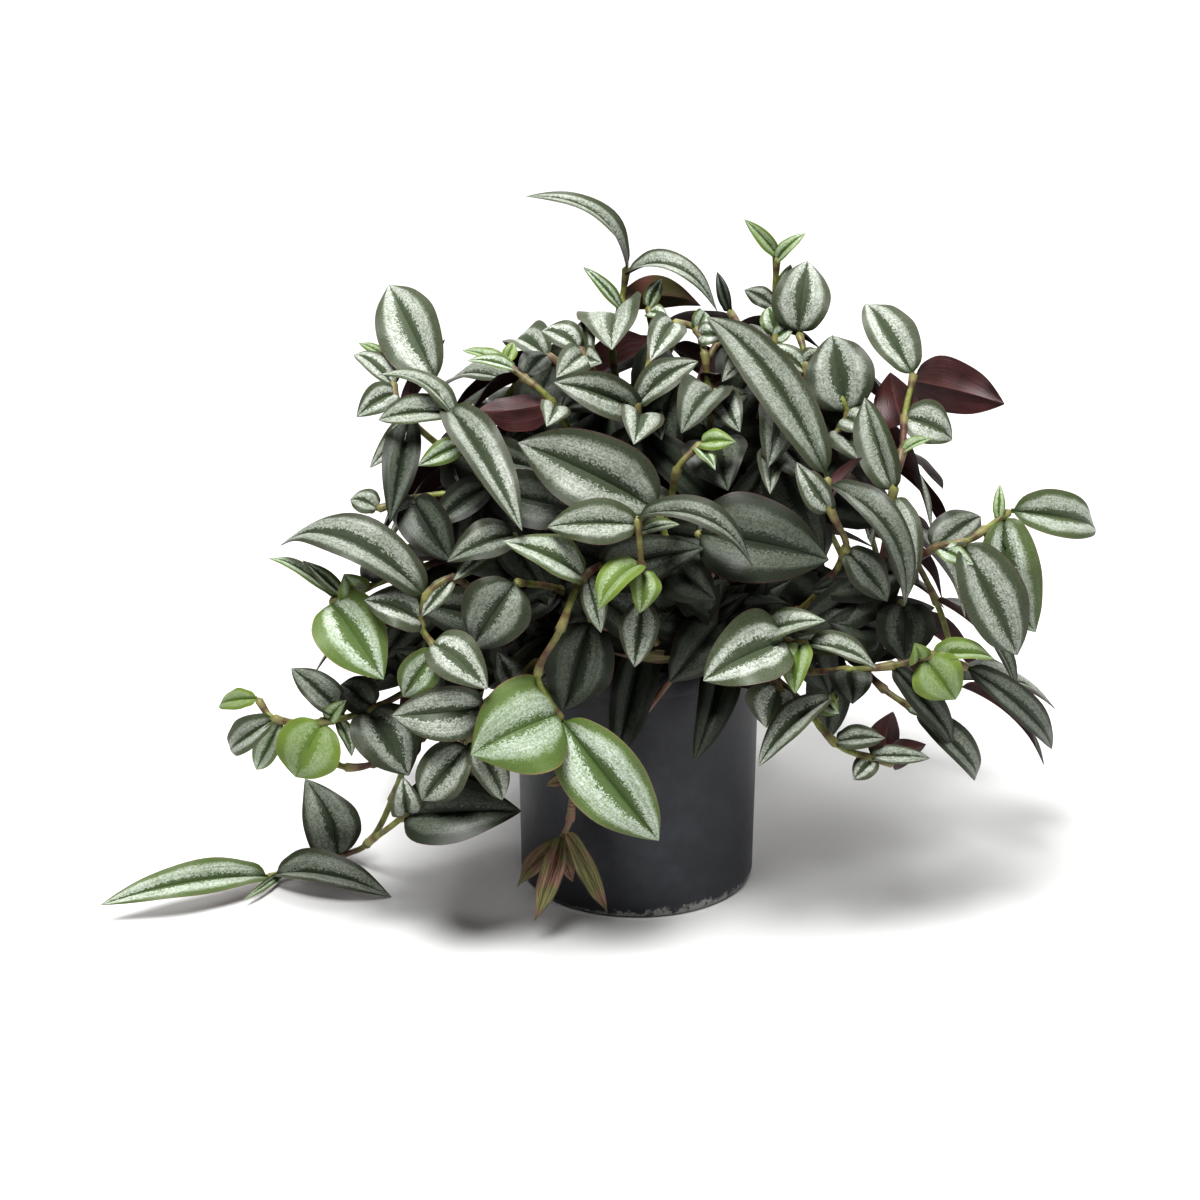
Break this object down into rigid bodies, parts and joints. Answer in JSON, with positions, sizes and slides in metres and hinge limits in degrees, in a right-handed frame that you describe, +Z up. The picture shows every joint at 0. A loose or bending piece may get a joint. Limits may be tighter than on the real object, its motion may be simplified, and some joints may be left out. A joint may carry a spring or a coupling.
{
  "type": "potted trailing houseplant",
  "caption": "Trailing houseplant with silver-striped pointed leaves, a full mound in a round plastic nursery pot.",
  "frame": {"origin": "centre of the pot's base, on the surface that it stands on", "axes": "+Z up along the pot's axis, +Y away from the side with the dried shoot, +X to the right seen from that side"},
  "size_m": [0.4725, 0.3229, 0.3363],
  "materials": {
    "pot": "near-black moulded nursery-pot plastic, satin with dull scuffs",
    "soil": null,
    "leafy_stem": null,
    "dried_shoot": null
  },
  "bodies": {
    "root": {"pot": "pot", "soil": "soil", "front_low": "leafy_stem", "front_shade": "leafy_stem", "centre": "leafy_stem", "centre_big": "leafy_stem", "centre_right": "leafy_stem", "centre_void": "leafy_stem", "long_silver": "leafy_stem", "right_mid": "leafy_stem", "right_far": "leafy_stem", "right_low": "leafy_stem", "right_bottom": "leafy_stem", "right_hook": "leafy_stem", "right_bunch": "leafy_stem", "right_under": "leafy_stem", "right_dark": "leafy_stem", "young_mid": "leafy_stem", "mitten": "leafy_stem", "tall_mid": "leafy_stem", "fold_top": "leafy_stem", "long_top": "leafy_stem", "tan_shoot": "leafy_stem", "young_top": "leafy_stem", "broad_right": "leafy_stem", "silver_right": "leafy_stem", "purple_left": "leafy_stem", "fold_left": "leafy_stem", "upper_left": "leafy_stem", "pale_left": "leafy_stem", "big_left": "leafy_stem", "round_left": "leafy_stem", "green_left": "leafy_stem", "grey_left": "leafy_stem", "dark_left": "leafy_stem", "front_left": "leafy_stem", "low_left": "leafy_stem", "low_left_end": "leafy_stem", "dark_low": "leafy_stem", "dried_shoot": "dried_shoot", "trailing_stem": "leafy_stem", "back_stem_01": "leafy_stem", "back_stem_02": "leafy_stem", "back_stem_03": "leafy_stem", "back_stem_04": "leafy_stem", "back_stem_05": "leafy_stem", "back_stem_06": "leafy_stem", "back_stem_07": "leafy_stem", "back_stem_08": "leafy_stem", "back_stem_09": "leafy_stem", "back_stem_10": "leafy_stem", "back_stem_11": "leafy_stem", "back_stem_12": "leafy_stem", "back_stem_13": "leafy_stem", "back_stem_14": "leafy_stem"}
  },
  "joints": []
}
